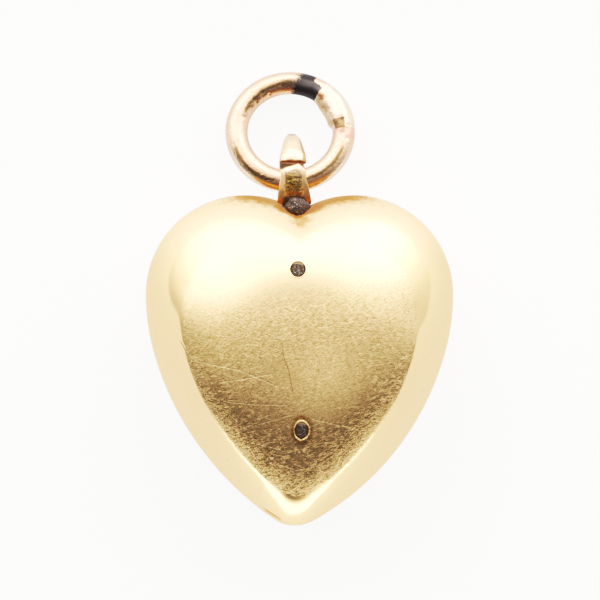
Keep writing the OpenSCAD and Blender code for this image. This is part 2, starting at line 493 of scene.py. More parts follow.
class Vent:
    """A vent in the back of the heart: a hole with an eased or burred edge."""

    def __init__(self, x, y, radius, squash, burr_width, burr_height, rough, seed):
        self.centre = np.array([x, y])
        self.radius, self.squash = radius, squash
        self.burr_width, self.burr_height = burr_width, burr_height
        self.rough, self.seed = rough, seed

    def loop(self, away, count=56):
        """Places round the vent, that far outside its edge."""
        a, ring = circle(count)
        wobble = 1 + self.rough * waves(ring, 0.55, self.seed)
        reach = self.radius * wobble + away
        return self.centre + reach[:, None] * np.column_stack((np.cos(a) * self.squash, np.sin(a)))

    def burr(self, away, count=56):
        """Height of the burr that far outside the edge."""
        uneven = 1 + 0.35 * waves(circle(count)[1], 0.6, self.seed + 1)
        return self.burr_height * uneven * bump_at(away - self.burr_width / 2, self.burr_width / 2)


VENTS = (
    Vent(-0.07 * MM, 2.99 * MM, 0.365 * MM, 0.98, 0.05 * MM, 0.006 * MM, 0.05, 3),
    Vent(0.10 * MM, -4.34 * MM, 0.385 * MM, 0.80, 0.055 * MM, 0.034 * MM, 0.05, 5),
)


# How far outside a vent's edge the faces are taken out: the outer ones and the cavity's
VENT_MARGIN = 0.17 * MM
CAVITY_MARGIN = 0.25 * MM
# Loops on the burr, in millimetres outside the vent's edge, and loops down its bore, in millimetres
# inside the edge and below the face
BURR_LOOPS = (0.15, 0.12, 0.09, 0.07, 0.05, 0.035, 0.02, 0.008, 0.0)
BORE_LOOPS = ((0.006, 0.01), (0.012, 0.03), (0.015, 0.10), (0.012, 0.20), (0.010, 0.30))


def add_vent(surface, form, vent):
    """Opens the heart's back at a vent and returns the loop at the bottom of its bore."""
    jagged = surface.cut(vent.centre, vent.radius + VENT_MARGIN)
    loops = []
    for away in BURR_LOOPS:
        places = vent.loop(away * MM)
        points = form.face_point(places[:, 0], places[:, 1], 1)
        points[:, 2] += vent.burr(away * MM)
        loops.append(surface.add(points))
    for inset, depth in BORE_LOOPS:
        places = vent.loop(-inset * MM)
        points = form.face_point(places[:, 0], places[:, 1], 1)
        points[:, 2] -= depth * MM
        loops.append(surface.add(points))
    surface.stitch(jagged, loops[0], vent.centre)
    surface.tube(loops)
    return loops[-1]


def heart_shell(form):
    """The hollow heart: outer faces, seam, vents and the cavity's own faces, as one closed mesh."""
    s = form.size
    surface = Surface()
    points, faces, rim = form.face(1, HEART_RINGS)
    surface.patch(points, faces)
    bores = [add_vent(surface, form, vent) for vent in VENTS]
    points, faces, low_rim = form.face(-1, HEART_RINGS)
    first = surface.patch(points, faces)
    loops = [rim]
    for level in SEAM_LEVELS:
        swell, groove = 1 - level ** 2, bump_at(level, 0.16)
        loop = surface.points[rim].copy()
        loop[:, :2] *= 1 + SEAM_SWELL * swell - SEAM_GROOVE * groove
        loop[:, 2] = level * s.seam_land / 2
        loops.append(surface.add(loop))
    surface.tube([*loops, low_rim + first])
    inner_first = len(surface.faces)
    grow = (1 - 2 * s.wall / s.width, 1 - s.wall / form.height(0))
    points, faces, rim = form.face(1, CAVITY_RINGS, grow)
    first = surface.patch(points, faces)
    for vent, bore in zip(VENTS, bores):
        jagged = surface.cut(vent.centre, vent.radius + CAVITY_MARGIN, inner_first)
        surface.stitch(jagged, bore, vent.centre)
    points, faces, low_rim = form.face(-1, CAVITY_RINGS, grow)
    low_first = surface.patch(points, faces)
    surface.band(rim + first, low_rim + low_first)
    return surface


HEART_RINGS = 76
CAVITY_RINGS = 20
# Levels of the loops between the two rims, as shares of half the land, and how far the seam swells beyond
# the rim and is grooved along its middle, as shares of the heart's size
SEAM_LEVELS = (0.7, 0.4, 0.22, 0.1, 0.0, -0.1, -0.22, -0.4, -0.7)
SEAM_SWELL = 0.0025
SEAM_GROOVE = 0.0018

# Soot round the solder in the notch: its middle, how far it reaches beside the notch, how many times
# sooner it ends below it, how high above the notch that still counts, and the width over which it fades
SOOT_MIDDLE = -0.12 * MM
SOOT_REACH = 0.50 * MM
SOOT_DROP = 1.35
SOOT_RISE = 0.12 * MM
SOOT_FADE = 0.22 * MM
# Stain round the soot: its widths left and right, below the notch and beside it, how far above the
# notch's foot it turns from one to the other, how far off it starts, and beyond what distance from the
# notch there is none
BRIM_LOW = (0.22 * MM, 0.30 * MM)
BRIM_HIGH = (0.44 * MM, 0.66 * MM)
BRIM_TURN = (-0.35 * MM, -0.05 * MM)
BRIM_START = 0.05 * MM
BRIM_LIMIT = 1.9 * MM
# The browner gold inside that stain, as a share of its width
SCORCH_SHARE = 0.72
# A hazy patch of stain below the notch: its place from the notch, and how far it reaches
HAZE_AT = (0.06 * MM, -0.50 * MM)
HAZE_REACH = 0.45 * MM
# Stain along the lobes' tops: how far in from the rim, and where beside the notch it is still full and
# has ended
EDGE_STAIN = 0.44 * MM
EDGE_SPAN = (1.6 * MM, 4.4 * MM)
# How strongly each of the three shows
STAIN_SHARES = {"haze": 0.72, "edge": 1.2, "brim": 1.3}
# Brown ring that heat has left beyond the low vent's burr: how strong, how far out, and how wide
HALO = (0.75, 0.19 * MM, 0.13 * MM)
# Dirt in the seam's groove, and a brown stretch of it beside the tip: its place and how far it reaches
SEAM_DIRT = 0.035 * MM
SEAM_STAIN_AT = (-1.15 * MM, -7.9 * MM)
SEAM_STAIN_REACH = 0.75 * MM
# Wear of the face thins out between these heights above the middle, by this share
WEAR_TOP = (1.0 * MM, 2.7 * MM)
WEAR_LOSS = 0.9
# Painted shade: the rim band's darker gold ends between these heights above the middle
RIM_SHADE_TOP = (3.2 * MM, 5.4 * MM)


def heart_masks(form, points):
    """What has settled where on the heart, and the painted shade on its rim, from 0 to 1 at each point."""
    x, y, z = points.T
    back, right = z > 0, x > 0
    over_notch = y - form.notch_y
    notch = np.hypot(x, over_notch)
    rim_gap = form.reach(np.arctan2(x, y), 1) - np.hypot(x, y)
    past_soot = np.abs(x - SOOT_MIDDLE) - SOOT_DROP * np.minimum(over_notch, SOOT_RISE) - SOOT_REACH
    low, high = np.where(right, *BRIM_LOW[::-1]), np.where(right, *BRIM_HIGH[::-1])
    brim_width = low + (high - low) * ramp(over_notch, *BRIM_TURN)
    brim = bump_at(np.maximum(past_soot - BRIM_START, 0), brim_width) * (notch < BRIM_LIMIT)
    scorched = bump_at(np.maximum(past_soot, 0), SCORCH_SHARE * brim_width) * back * (notch < BRIM_LIMIT)
    haze = bump_at(np.hypot(x - HAZE_AT[0], over_notch - HAZE_AT[1]), HAZE_REACH)
    edge = bump_at(rim_gap, EDGE_STAIN) * ramp(np.abs(x), *EDGE_SPAN[::-1]) * (y > 0)
    layers = {"haze": haze, "edge": edge, "brim": brim}
    strength, start, reach = HALO
    vent = VENTS[1]
    from_vent = np.hypot((x - vent.centre[0]) / vent.squash, y - vent.centre[1]) - vent.radius
    by_tip = bump_at(np.hypot(x - SEAM_STAIN_AT[0], y - SEAM_STAIN_AT[1]), SEAM_STAIN_REACH)
    field = smooth(FIELD_EDGE[0] - form.past_ridge(x, y, form.level(x, y)) / FIELD_EDGE[1])
    return {
        "stain": np.max([STAIN_SHARES[name] * layer for name, layer in layers.items()], axis=0),
        "scorched": scorched,
        "soot": smooth(0.5 - past_soot / SOOT_FADE),
        "halo": strength * bump_at(from_vent - start, reach) * back,
        "seam": 0.6 * bump_at(z, SEAM_DIRT) * (rim_gap < 0.05 * MM),
        "seam_stain": by_tip * bump_at(rim_gap, 0.05 * MM) * (z > -0.1 * MM),
        "worn": field * (1 - WEAR_LOSS * ramp(y - LEFT_RISE * x, *WEAR_TOP)),
        # Painted shade: darker gold on the rim band, below the lobes
        "rim": (1 - field) * ramp(y, *RIM_SHADE_TOP[::-1]),
    }


def strip_width(size, rise):
    """Width of the bail strip at a height above the loop's centre."""
    crown = size.crown + (size.shoulder - size.crown) * 0.5
    widths = (size.foot, 1.12 * size.waist, size.waist, size.waist, size.shoulder, crown, size.crown)
    return np.interp(rise / size.radius, (-1, -0.5, -0.3, 0.38, 0.7, 0.9, 1), widths)


# Places along the bail's strip are shares of its length, from the tongue's end at the open joint, 0,
# round the far side and the foot to the front leg's end, 1. Places across it run from its left edge, -1,
# to its right edge, 1.

# How far the strip's two ends lie to the right of the middle of the loop
TONGUE_SHIFT = -0.03 * MM
FOOT_SHIFT = 0.09 * MM
# Where the bevels along the strip's outer face start, as a share of half its width, and how far they fall
BEVEL_START = 0.38
BEVEL_DROP = 0.62
# How square the strip's section is: 1 is round, and nearer 0 is squarer
STRIP_SQUARE = 0.55
# Where the leg's end is highest across the strip, and how far it drops to both sides in degrees
LEG_PEAK = 0.4
LEG_END_DROP = (9.0, 7.0)
# The stretch of each end in which that slant and the ragged edge fade in
END_STRETCH = 0.06
# The tongue's end stands proud of the leg's, which is bent in: how far, and over which stretch
TONGUE_PROUD = (0.07 * MM, 0.10)
LEG_BENT = (0.13 * MM, 0.06)
# The crumpled stretch of the front leg: its middle, how far it reaches, and where across the leg it ends
CRUMPLE_AT = 0.89
CRUMPLE_REACH = 0.065
CRUMPLE_EDGE = (0.52, 0.68)
# Its folds: their middle, how far they reach, and how deep they are
FOLDS_AT = 0.90
FOLDS_REACH = 0.055
FOLD_DEPTH = 0.045 * MM
# Stretches of the strip, as where each starts and is full, and where it is still full and has ended
STRIP_STAIN = ((0.45, 0.65), (0.855, 0.905))
# The front leg's bevels: painted reflection in pale, dull cream, with painted shade on the right one
STRIP_PAINTED_LIGHT = ((0.80, 0.83), (0.965, 0.985))


def bail_strip(size):
    """The loop of tapered strip, open at its joint, with a crumpled front leg."""
    surface = Surface()
    along, around = 380, 72
    gap = size.slit / size.radius / 2
    start, span = size.slit_angle + gap, TAU - 2 * gap
    middle_radius = size.radius - size.thickness / 2
    drop = np.radians(LEG_END_DROP)
    beta = np.arange(around) * TAU / around
    flat_x = np.sign(np.cos(beta)) * np.abs(np.cos(beta)) ** STRIP_SQUARE
    flat_r = np.sign(np.sin(beta)) * np.abs(np.sin(beta)) ** STRIP_SQUARE
    bevel = BEVEL_DROP * (np.maximum(np.abs(flat_x) - BEVEL_START, 0) / (1 - BEVEL_START)) ** 1.3
    crowned = flat_r * (1 - bevel * (flat_r > 0))
    middle = smooth((0.70 - np.abs(flat_x)) / 0.18)
    steps = np.linspace(0, 1, along)
    for step in steps:
        end = np.clip(1 - min(step, 1 - step) / END_STRETCH, 0, 1)
        slant = 0 if step < 0.5 else -end * np.interp(flat_x, (-1, LEG_PEAK, 1), (drop[0], 0, drop[1]))
        ragged = 0.02 * end * waves(np.column_stack((flat_x, flat_r, beta * 0)), 0.45, 7 + (step < 0.5))
        angle = start + step * span + slant + ragged
        rise = size.radius * np.sin(start + step * span)
        proud = TONGUE_PROUD[0] * smooth(1 - step / TONGUE_PROUD[1])
        bent = LEG_BENT[0] * max(1 - (1 - step) / LEG_BENT[1], 0) ** 2
        reach = middle_radius + proud - bent + size.thickness / 2 * crowned
        high, low = rise / size.radius - 0.1, -rise / size.radius - 0.2
        shift = TONGUE_SHIFT * smooth(high / 0.9) + FOOT_SHIFT * smooth(low)
        x = strip_width(size, rise) / 2 * flat_x + shift
        points = np.column_stack((x, reach * np.sin(angle), reach * np.cos(angle)))
        folds = 1 - 2 * np.abs(waves(points, 0.17 * MM, 11)) - 1.2 * np.abs(waves(points, 0.09 * MM, 12))
        front = FOLD_DEPTH * bump_at(step - FOLDS_AT, FOLDS_REACH) * middle * (flat_r > 0)
        lift = front * folds + 0.006 * MM * waves(points, 0.3 * MM, 13)
        points[:, 1] += lift * np.sin(angle)
        points[:, 2] += lift * np.cos(angle)
        surface.add(points)
    loops = np.arange(along * around).reshape(along, around)
    surface.tube(loops)
    for loop in (loops[0], loops[-1]):
        surface.cap(loop, surface.points[loop].mean(axis=0))
    c, s = math.cos(size.yaw), math.sin(size.yaw)
    surface.points = surface.points @ np.array([[c, 0, -s], [0, 1, 0], [s, 0, c]])
    surface.points[:, :2] += (size.aside, size.centre)
    step = np.append(np.repeat(steps, around), (0, 1))
    aside = np.append(np.tile(flat_x, along), (0, 0))
    return surface, bail_masks(step, aside, start + step * span)


def bail_masks(step, aside, turned):
    """What has settled on the strip, and its painted light and shade, by place along and across it and angle
    round the loop.
    """
    across = np.abs(aside)
    crumple = bump_at(step - CRUMPLE_AT, CRUMPLE_REACH) * ramp(across, *CRUMPLE_EDGE[::-1])
    # Painted shade along the strip's rounded edges: the loop's crown and the tongue's right edge
    top_edge_shade = 0.8 * ramp(np.sin(turned), 0.86, 0.98) * (np.cos(turned) > -0.2)
    right_edge_shade = ramp(aside, 0.66, 0.81) * ramp(step, 0.20, 0.15)
    return {
        "crumple": crumple * (1 - 0.45 * ramp(aside, 0, 0.3)),
        "stain": 0.7 * within(step, *STRIP_STAIN),
        "char": ramp(step, 0.865, 0.815) * (step > 0.7) * ramp(across, 0.85, 0.50),
        # Painted reflection: pale cream on the front leg's bevels, and painted shade on its right one
        "flank": ramp(across, 0.55, 0.75) * within(step, *STRIP_PAINTED_LIGHT),
        "right_flank_painted_shade": ramp(aside, 0, 0.4) * ramp(step, 1.00, 0.88) * (step > 0.5),
        "edge_painted_shade": np.maximum(right_edge_shade, top_edge_shade),
        "crinkle": ramp(step, 0.085, 0.055) * ramp(step, 0, 0.01),
        # Painted shade: the strip's ends, in the open joint
        "joint": ramp(step, 0.012, 0) + ramp(step, 0.988, 1),
    }


def lump(centre, radii, roughness, seed, rings=20):
    """A rough blob of set metal or dirt."""
    surface = Surface()
    around = 2 * rings
    a = np.arange(around) * TAU / around
    loops = []
    for ring in range(1, rings):
        b = math.pi * ring / rings
        level = np.column_stack((np.cos(a), np.sin(a))) * math.sin(b)
        unit = np.column_stack((level, np.full(around, math.cos(b))))
        swell = 1 + roughness * (waves(unit, 0.55, seed) + 0.5 * waves(unit, 0.22, seed + 1))
        loops.append(surface.add(centre + unit * swell[:, None] * radii))
    surface.tube(loops)
    surface.cap(loops[0], centre + np.array([0, 0, radii[2]]))
    surface.cap(loops[-1], centre - np.array([0, 0, radii[2]]))
    return surface


# The solder in the notch: its middle from the notch, half its sizes, and how rough it is as a share of them
SOLDER_AT = (-0.12 * MM, 0.12 * MM)
SOLDER_RADII = (0.62 * MM, 0.60 * MM, 1.42 * MM)
SOLDER_ROUGH = 0.08
# How deep the dirt lies in the top vent and in the low one
DIRT_DEPTHS = (0.05 * MM, 0.045 * MM)


def vent_residue(form, vent, depth, seed):
    """Dirt that has set in a vent: an uneven plug with a hollow in it."""
    surface = Surface()
    loops = []
    edge = vent.loop(-0.012 * MM) - vent.centre
    for share_out in (1.03, 0.9, 0.75, 0.6, 0.45, 0.3, 0.15):
        places = vent.centre + edge * share_out
        points = form.face_point(places[:, 0], places[:, 1], 1)
        uneven = waves(points, 0.10 * MM, seed) + 0.7 * waves(points, 0.045 * MM, seed + 1)
        points[:, 2] -= depth * (1 - 0.35 * share_out ** 4) - 0.018 * MM * uneven
        loops.append(surface.add(points))
    surface.tube(loops)
    surface.cap(loops[-1], surface.points[loops[-1]].mean(axis=0))
    under = surface.add(surface.points[loops[0]] - (0, 0, 0.12 * MM))
    surface.band(loops[0], under)
    surface.cap(under, surface.points[under].mean(axis=0))
    x, y, _ = ((surface.points - (*vent.centre, 0)) / vent.radius).T
    masks = {
        "crust": ramp(y + 0.20 * np.abs(x + 0.2), 0.58, 0.83),
        "rust": ramp(np.hypot(x / vent.squash, y), 0.74, 0.94),
    }
    return surface, masks


class RingForm:
    """The jump ring's place and tilt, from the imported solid's box."""

    def __init__(self, size):
        self.size = size
        height = RING_HIGH.z - RING_LOW.z
        self.tilt = math.asin((height - 2 * size.wire) / (2 * size.radius))
        self.centre = np.array([
            RING_LOW.x + size.radius + size.wire,
            RING_HIGH.y - size.radius * math.cos(self.tilt) - size.wire,
            RING_LOW.z + size.radius * math.sin(self.tilt) + size.wire,
        ])

    def place(self, points):
        """Tilts the ring so that its far side rests on the floor."""
        return pitched(points, self.tilt) + self.centre


# Places along the ring are degrees from its right side, 0, over its far side, 90, to its left side, 180.
# Places across its wire, as seen from above, run from its outer edge, 1, to its inner edge, -1.

# Nicks in the ring's wire: angle round the ring, angle round the wire, both in degrees, radius and depth
RING_NICKS = (
    (152, 150, 0.16 * MM, 0.035 * MM),
    (138, 140, 0.14 * MM, 0.040 * MM),
    (126, 120, 0.12 * MM, 0.030 * MM),
    (118, 150, 0.10 * MM, 0.030 * MM),
    (165, 120, 0.12 * MM, 0.020 * MM),
    (10, 95, 0.13 * MM, 0.070 * MM),
    (3, 60, 0.14 * MM, 0.035 * MM),
    (-6, 100, 0.16 * MM, 0.050 * MM),
    (-11, 70, 0.10 * MM, 0.030 * MM),
    (214, 70, 0.14 * MM, 0.012 * MM),
    (196, 60, 0.12 * MM, 0.010 * MM),
)
# Stretches of the ring, as where each starts and is full, and where it is still full and has ended: the
# thicker wire of the repair, the swell of its solder into the ring's eye, the solder's colour and its tan
# inner edge, and the painted reflection, in tan, along the rest of the eye
MEND_SPAN = ((2, 11), (53, 61))
SWELL_SPAN = ((2, 14), (38, 58))
SOLDER_SPAN = ((-3, 5), (51, 56))
SOLDER_EDGE_SPAN = ((2, 8), (50, 54))
EYE_REFLECTION_SPAN = ((95, 110), (347, 352))
MEND_SWELL = 0.14 * MM
# Where the black scale starts and ends along the ring, how much further that is at the wire's outer edge
# and at its inner edge, and how far it fades to both sides
SCALE_START, SCALE_START_OUT, SCALE_START_FADE = 52, 11, 4
SCALE_END, SCALE_END_IN, SCALE_END_FADE = 83, 5, 13
# The flat facet beside the repair: its middle and half its size, along the ring and towards the ring's eye
FACET_ALONG = (7, 7)
FACET_INWARD = (0.32, 0.50)
# Painted reflection: dark bands beside the ring's crown, where the wire mirrors the dim surround: where
# along the ring each starts and ends, with places between, and where across the wire it lies there
DARK_REFLECTION_BANDS = (
    ((84, 100, 140, 165), (0.0, 0.0, -0.20, -0.34)),
    ((192, 205, 232, 262), (0.28, 0.29, 0.27, 0.0)),
    ((276, 300, 318, 346), (0.0, 0.0, 0.03, 0.12)),
)
DARK_REFLECTION_WIDTH = 0.17
DARK_REFLECTION_FADE = 12


def ring_dark_reflection(degrees, across):
    """How strongly the painted dark reflection lies at places along the ring and across its wire."""
    painted_dark_reflection = np.zeros_like(across)
    for along, middle in DARK_REFLECTION_BANDS:
        ends = within(degrees, (along[0], along[0] + DARK_REFLECTION_FADE), (along[-1] - DARK_REFLECTION_FADE, along[-1]))
        painted_dark_reflection = np.maximum(painted_dark_reflection, ends * bump_at(across - np.interp(degrees, along, middle), DARK_REFLECTION_WIDTH))
    return painted_dark_reflection


def jump_ring(size, tilt):
    """The round wire of the ring, with nicks, and flattened where it was mended."""
    surface = Surface()
    along, around = 420, 56
    beta = np.arange(around) * TAU / around
    inward = np.maximum(-np.cos(beta), 0) ** 1.5
    loops, way = [], []
    for step in range(along):
        alpha = TAU * step / along
        degrees = math.degrees(alpha)
        mended = float(within(degrees, *MEND_SPAN))
        radius = size.wire + (size.mend - size.wire) * mended
        facets = 1 - 0.05 * mended * np.cos(3 * beta + 0.9 + alpha) ** 2
        lumps = np.column_stack((np.cos(beta), np.sin(beta), np.full(around, alpha * 3.0)))
        uneven = 1 + 0.008 * waves(lumps, 1.4, 21) + 0.045 * mended * waves(lumps, 0.55, 22)
        reach = radius * facets * uneven + MEND_SWELL * within(degrees, *SWELL_SPAN) * inward
        for at, round_at, width, depth in RING_NICKS:
            gap = (degrees - at + 180) % 360 - 180
            turned = (np.degrees(beta) - round_at + 180) % 360 - 180
            span = np.hypot(math.radians(gap) * size.radius, np.radians(turned) * size.wire)
            reach = reach - depth * bump_at(span, width)
        out = size.radius + reach * np.cos(beta)
        points = np.column_stack((out * math.cos(alpha), out * math.sin(alpha), reach * np.sin(beta)))
        loops.append(surface.add(points))
        way.append(np.full(around, degrees))
    surface.tube([*loops, loops[0]])
    return surface, ring_masks(np.concatenate(way), np.tile(beta, along), tilt)


def ring_masks(degrees, beta, tilt):
    """What has settled on the ring, and its painted reflections and sheen, by the angles round it and its
    wire.
    """
    side, inner = np.sin(beta), -np.cos(beta)
    turned = beta - tilt * np.sin(np.radians(degrees))
    across, upper = np.cos(turned), np.sin(turned) > 0
    signed = (degrees + 180) % 360 - 180
    start = SCALE_START + SCALE_START_OUT * ramp(across, 0.35, 0.60)
    end = SCALE_END + SCALE_END_IN * inner
    scale = ramp(degrees, start, start + SCALE_START_FADE)
    scale = scale * ramp(degrees, end + SCALE_END_FADE, end - SCALE_END_FADE)
    facet_way = np.maximum(
        np.abs(signed - FACET_ALONG[0]) / FACET_ALONG[1],
        np.abs(inner - FACET_INWARD[0]) / FACET_INWARD[1],
    )
    # Painted sheen on the fire scale: a lighter band across the wire, streaked along it
    drawn = waves(np.column_stack((degrees / 14, across * 3.5, 0 * degrees)), 1.0, 51)
    painted_sheen = bump_at(across - 0.12, 0.30) + 0.7 * drawn * ramp(across, -0.4, 0.0)
    spot = bump_at(np.hypot((signed - 48) / 5, (inner - 0.55) / 0.35), 1)
    solder_edge = ramp(inner, 0.62, 0.92) * within(signed, *SOLDER_EDGE_SPAN) * (side > -0.3)
    # Painted reflection: tan along the wire's inner edge round the ring's eye
    eye_painted_reflection = ramp(across, -0.70, -0.90) * within(degrees, *EYE_REFLECTION_SPAN)
    return {
        "fire_scale": scale * ramp(side, -0.55, -0.05),
        "scorch": 0.9 * bump_at((degrees - 92) / 13, 1) * bump_at(across - 0.05, 0.40) * (side > 0),
        "scale_painted_sheen": scale * painted_sheen * upper,
        "solder": within(signed, *SOLDER_SPAN),
        "facet": ramp(facet_way, 1, 0.75) * (side > 0),
        "tan_and_painted_reflection": np.max([0.62 * solder_edge, spot, 0.58 * eye_painted_reflection], axis=0),
        # Painted reflection: a pale band on the wire's outer edge, on the ring's near side
        "low_edge_painted_reflection": bump_at(across - 0.62, 0.25) * bump_at(degrees - 270, 60),
        "mend_seam": 0.85 * bump_at(np.hypot((signed + 4) / 8, 0.8 * (1 - side)), 1),
        # Painted reflection: dark bands along the wire's upper side
        "painted_dark_reflection": ring_dark_reflection(degrees, across) * upper,
    }


# Shading

# Numbers of a Mix node's colour sockets, whose names its other sockets have too
MIX_COLOURS = (6, 7)
MIX_RESULT = 2


def new_group(name, inputs, outputs):
    """An empty shader node group with named sockets, and the nodes that hold them."""
    group = bpy.data.node_groups.new(name, "ShaderNodeTree")
    for key, kind, value in inputs:
        socket = group.interface.new_socket(name=key, in_out="INPUT", socket_type=f"NodeSocket{kind}")
        if value is not None:
            socket.default_value = value
    for key, kind in outputs:
        group.interface.new_socket(name=key, in_out="OUTPUT", socket_type=f"NodeSocket{kind}")
    return group, group.nodes.new("NodeGroupInput").outputs, group.nodes.new("NodeGroupOutput").inputs


def add(tree, kind, inputs=None, **settings):
    """Adds a node, sets it up, and links or sets the inputs named or numbered."""
    node = tree.nodes.new(f"ShaderNode{kind}")
    for key, value in settings.items():
        setattr(node, key, value)
    feed(tree, node, inputs or {})
    return node


def feed(tree, node, inputs):
    """Links or sets a node's inputs, named or numbered."""
    for key, value in inputs.items():
        if isinstance(value, bpy.types.NodeSocket):
            tree.links.new(value, node.inputs[key])
        else:
            node.inputs[key].default_value = value


def calc(tree, operation, a, b=0.0, c=0.0, clamp=False):
    """The result of a Math node."""
    return add(tree, "Math", {0: a, 1: b, 2: c}, operation=operation, use_clamp=clamp).outputs[0]


def product(tree, first, *others):
    """Several values multiplied."""
    for other in others:
        first = calc(tree, "MULTIPLY", first, other)
    return first


def vector_calc(tree, operation, a, b=None, c=None, output="Vector"):
    """The result of a Vector Math node."""
    inputs = {number: value for number, value in enumerate((a, b, c)) if value is not None}
    return add(tree, "VectorMath", inputs, operation=operation).outputs[output]


def scaled(tree, vector, factor):
    """A vector times a number."""
    return add(tree, "VectorMath", {0: vector, "Scale": factor}, operation="SCALE").outputs[0]


def parts(tree, vector):
    """The three numbers of a vector."""
    return add(tree, "SeparateXYZ", {"Vector": vector}).outputs


def ease(tree, value, low, high, start=0.0, end=1.0):
    """A value mapped smoothly from one range to another."""
    inputs = {"Value": value, "From Min": low, "From Max": high, "To Min": start, "To Max": end}
    return add(tree, "MapRange", inputs, interpolation_type="SMOOTHSTEP").outputs["Result"]


def blend_colours(tree, share_of_b, a, b):
    """Colour a with that share of colour b."""
    inputs = {"Factor": share_of_b, MIX_COLOURS[0]: a, MIX_COLOURS[1]: b}
    return add(tree, "Mix", inputs, data_type="RGBA").outputs[MIX_RESULT]


def grain(tree, vector, size, detail=2.0, roughness=0.5):
    """Noise with features of about a size in millimetres, from 0 to 1."""
    inputs = {"Vector": vector, "Scale": 1 / size, "Detail": detail, "Roughness": roughness}
    return add(tree, "TexNoise", inputs, noise_dimensions="3D").outputs["Fac"]


def rgba(value):
    """A settings colour as four numbers."""
    return (*value, 1.0)


# Layers of hairlines: the angle to the X axis in degrees, how much larger they are, and how deep they are
# cut
HAIRLINE_LAYERS = (
    (14, 0.8, 1.0), (-12, 0.8, 0.8), (34, 0.9, 0.9),
    (-38, 0.9, 0.7), (60, 1.0, 0.7), (-78, 0.9, 0.6),
)
# How far a hairline runs sideways over its length at most, in cells
HAIRLINE_SLANT = 2.0
# How far a hairline is pushed aside where it crosses one of the layers before, in millimetres. This also
# has the renderer work the layers out one after another, which it needs: all at once are too many for it.
HAIRLINE_NUDGE = 0.01


def hairline_group():
    """Short straight hairlines in crossing layers, one in each long cell of a layer, as wear leaves them."""
    group, given, out = new_group(
        "hairlines",
        [("Vector", "Vector", None), ("Length", "Float", 1.0), ("Spacing", "Float", 0.1),
         ("Thin", "Float", 6.0), ("Under", "Float", 0.0)],
        [("Lines", "Float")],
    )
    cell = add(group, "CombineXYZ", {"X": given["Length"], "Y": given["Spacing"], "Z": 1.0}).outputs[0]
    total = given["Under"]
    for number, (degrees, size, weight) in enumerate(HAIRLINE_LAYERS):
        where = {
            "Vector": vector_calc(group, "MULTIPLY_ADD", total, (HAIRLINE_NUDGE,) * 3, given["Vector"]),
            "Location": (7.7 * number, 3.1 * number, 0),
            "Rotation": (0, 0, math.radians(degrees)),
            "Scale": scaled(group, cell, size),
        }
        drawn = add(group, "Mapping", where, vector_type="TEXTURE").outputs[0]
        cells = add(group, "TexVoronoi", {"Vector": drawn, "Scale": 1.0}, voronoi_dimensions="2D").outputs
        along, aside, _ = parts(group, vector_calc(group, "SUBTRACT", drawn, cells["Position"]))
        pick, deep, reach = parts(group, cells["Color"])
        slant = calc(group, "MULTIPLY_ADD", pick, HAIRLINE_SLANT, -HAIRLINE_SLANT / 2)
        across = calc(group, "ABSOLUTE", calc(group, "MULTIPLY_ADD", slant, along, aside))
        line = calc(group, "SUBTRACT", 1.0, product(group, across, given["Thin"]))
        half_length = calc(group, "MULTIPLY_ADD", reach, 2.0, 2.4)
        ends = calc(group, "MULTIPLY_ADD", calc(group, "ABSOLUTE", along), -8.0, half_length, clamp=True)
        cut = calc(group, "MULTIPLY_ADD", deep, 0.65 * weight, 0.35 * weight)
        line = product(group, calc(group, "MAXIMUM", line, 0.0), ends, cut)
        total = calc(group, "MAXIMUM", total, line)
    group.links.new(total, out["Lines"])
    return group


def single_scratch_group():
    """One straight scratch between two places."""
    group, given, out = new_group(
        "single_scratch",
        [("Vector", "Vector", None), ("From", "Vector", None), ("To", "Vector", None),
         ("Width", "Float", 0.03)],
        [("Line", "Float")],
    )
    flat = vector_calc(group, "MULTIPLY", given["Vector"], (1, 1, 0))
    span = vector_calc(group, "SUBTRACT", given["To"], given["From"])
    offset = vector_calc(group, "SUBTRACT", flat, given["From"])
    reached = vector_calc(group, "DOT_PRODUCT", offset, span, output="Value")
    whole = vector_calc(group, "DOT_PRODUCT", span, span, output="Value")
    nearest = scaled(group, span, calc(group, "DIVIDE", reached, whole, clamp=True))
    away = vector_calc(group, "LENGTH", vector_calc(group, "SUBTRACT", offset, nearest), output="Value")
    line = calc(group, "SUBTRACT", 1.0, calc(group, "DIVIDE", away, given["Width"]), clamp=True)
    group.links.new(line, out["Line"])
    return group


def film_group():
    """A film of tarnish or oxide with a broken edge: lays one colour over another where a mask is high."""
    group, given, out = new_group(
        "film",
        [("Vector", "Vector", None), ("Mask", "Float", 0.0), ("Broken", "Float", 0.3),
         ("Grain", "Float", 4.0), ("Edge", "Float", 0.25), ("Metal", "Color", None),
         ("Film", "Color", None)],
        [("Color", "Color"), ("Cover", "Float")],
    )
    spots = {"Vector": given["Vector"], "Scale": given["Grain"], "Detail": 5.0, "Roughness": 0.65}
    uneven = calc(group, "SUBTRACT", add(group, "TexNoise", spots).outputs["Fac"], 0.5)
    pushed = calc(group, "MULTIPLY_ADD", uneven, given["Broken"], given["Mask"])
    low = calc(group, "SUBTRACT", 0.5, given["Edge"])
    cover = ease(group, pushed, low, calc(group, "ADD", 0.5, given["Edge"]))
    group.links.new(blend_colours(group, cover, given["Metal"], given["Film"]), out["Color"])
    group.links.new(cover, out["Cover"])
    return group


GROUP_MAKERS = {"hairlines": hairline_group, "single_scratch": single_scratch_group, "film": film_group}


def shared_group(name):
    """The shared node group of that name, built once."""
    return bpy.data.node_groups.get(name) or GROUP_MAKERS[name]()


